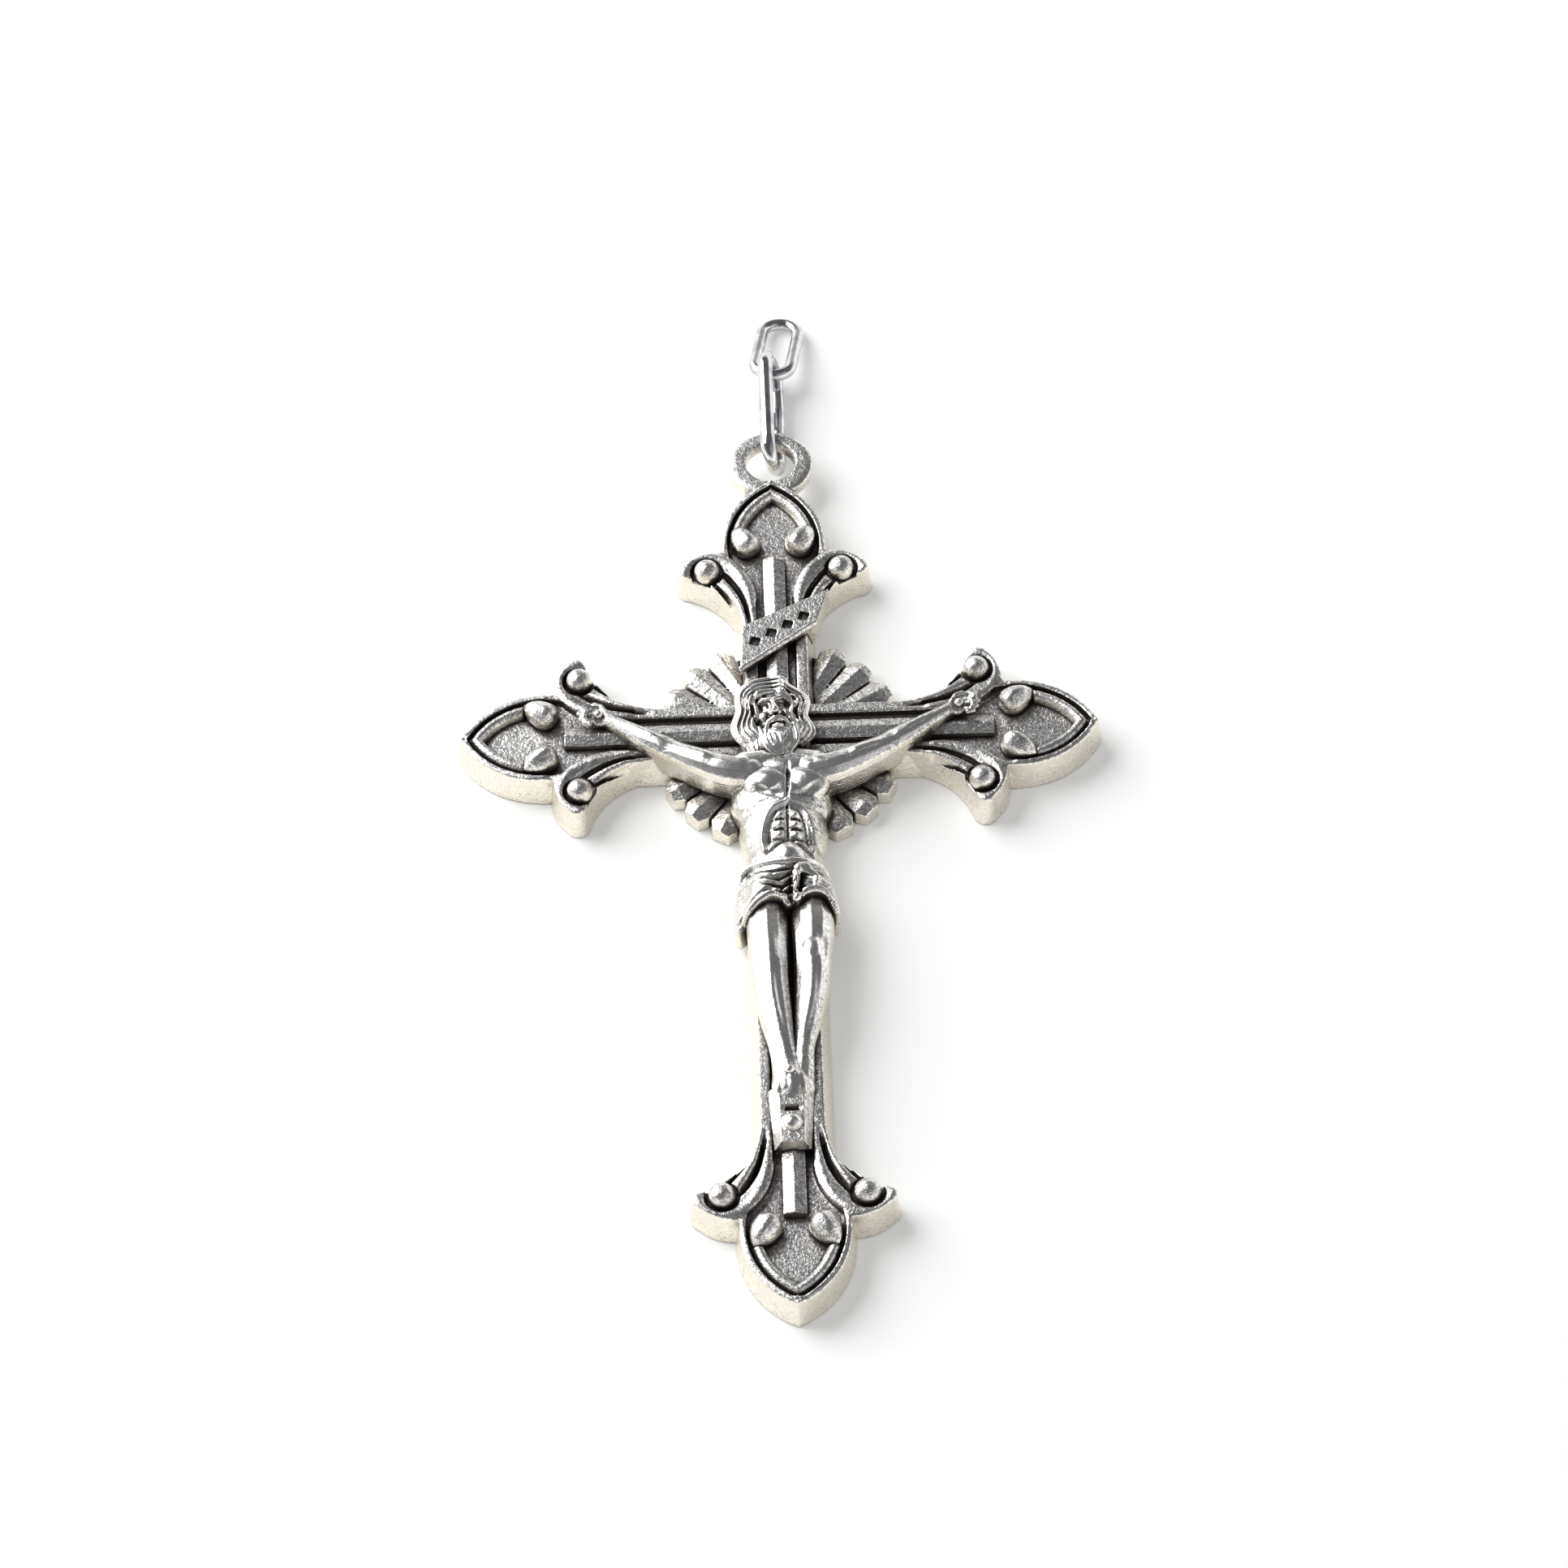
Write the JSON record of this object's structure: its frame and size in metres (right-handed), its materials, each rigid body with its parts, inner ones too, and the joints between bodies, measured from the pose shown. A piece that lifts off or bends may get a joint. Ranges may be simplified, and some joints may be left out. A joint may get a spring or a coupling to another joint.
{
  "type": "rosary crucifix pendant",
  "caption": "Small cast crucifix pendant with pointed lobes, flared scrolls, ray fans and a corpus, hanging from a jump ring and a chain link.",
  "frame": {"origin": "on the flat back, under the point where the two beams cross", "axes": "+X to the viewer's right, +Y up the cross towards the hanging eye, +Z out of the front; it lies on its back"},
  "size_m": [0.0356, 0.0679, 0.0043],
  "materials": {
    "casting": "antiqued silver, bright on the high places and blackened in the hollows",
    "wire": "bright polished silver plate"
  },
  "bodies": {
    "cross": {"corpus_arm_left": "casting", "corpus_arm_right": "casting", "corpus_head": "casting", "corpus_leg_left": "casting", "corpus_leg_right": "casting", "corpus_torso": "casting", "cross_beam_left": "casting", "cross_beam_right": "casting", "cross_plate": "casting", "drop_bottom_a": "casting", "drop_bottom_b": "casting", "drop_left_a": "casting", "drop_left_b": "casting", "drop_right_a": "casting", "drop_right_b": "casting", "drop_top_a": "casting", "drop_top_b": "casting", "foot_block": "casting", "foot_boss": "casting", "hanging_eye": "casting", "lobe_rim_bottom": "casting", "lobe_rim_left": "casting", "lobe_rim_right": "casting", "lobe_rim_top": "casting", "loincloth": "casting", "nail_feet": "casting", "nail_hand_left": "casting", "nail_hand_right": "casting", "pearl_bottom_a": "casting", "pearl_bottom_b": "casting", "pearl_left_a": "casting", "pearl_left_b": "casting", "pearl_right_a": "casting", "pearl_right_b": "casting", "pearl_top_a": "casting", "pearl_top_b": "casting", "ray_fan_lower_left": "casting", "ray_fan_lower_right": "casting", "ray_fan_upper_left": "casting", "ray_fan_upper_right": "casting", "title_scroll": "casting", "upright_beam": "casting"},
    "jump_ring": {"jump_ring": "wire"},
    "chain_link": {"chain_link": "wire"}
  },
  "joints": [
    {"name": "ring_swing", "type": "hinge", "parent": "cross", "child": "jump_ring", "pos_m": [0, 0.02085, 0.0015], "axis": [1, 0, 0], "range_deg": [-115, 125]},
    {"name": "link_swing", "type": "hinge", "parent": "jump_ring", "child": "chain_link", "pos_m": [0.0002, 0.02687, 0.00156], "axis": [0, 0, 1], "range_deg": [-70, 70]}
  ]
}
